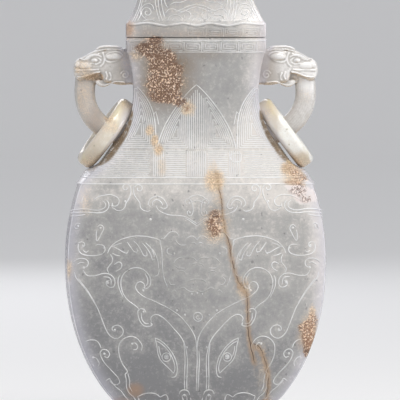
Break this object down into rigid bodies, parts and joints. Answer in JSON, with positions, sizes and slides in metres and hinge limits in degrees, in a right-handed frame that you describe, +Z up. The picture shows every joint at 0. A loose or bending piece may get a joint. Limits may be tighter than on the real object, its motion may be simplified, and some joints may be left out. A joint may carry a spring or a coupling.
{
  "type": "covered vase",
  "caption": "Flattened oval stone vase with a flared neck, a cover with a knob, beast-head loop handles and loose rings.",
  "frame": {"origin": "middle of the foot's underside, at the bottom centre of the bounding box", "axes": "+Z up the vase, +X towards the right-hand handle as seen from the front, the front face looks along -Y"},
  "size_m": [0.146, 0.06, 0.266],
  "materials": {
    "vase_stone": "polished, slightly translucent, pale grey-green with a russet patch and veins",
    "cover_stone": "polished, slightly translucent, pale grey-green",
    "ring_stone": "polished, slightly translucent, warm cream with tan clouds"
  },
  "bodies": {
    "vase": {"vase": "vase_stone"},
    "cover": {"cover": "cover_stone"},
    "left_ring": {"left_ring": "ring_stone"},
    "right_ring": {"right_ring": "ring_stone"}
  },
  "joints": [
    {"name": "cover_lift", "type": "slide", "parent": "vase", "child": "cover", "axis": [0, 0, 1], "range_m": [0, 0.06]},
    {"name": "left_ring_swing", "type": "hinge", "parent": "vase", "child": "left_ring", "pos_m": [-0.03969, 0, 0.18824], "axis": [0, 1, 0], "range_deg": [0, 75]},
    {"name": "right_ring_swing", "type": "hinge", "parent": "vase", "child": "right_ring", "pos_m": [0.03969, 0, 0.18824], "axis": [0, -1, 0], "range_deg": [0, 75]}
  ]
}
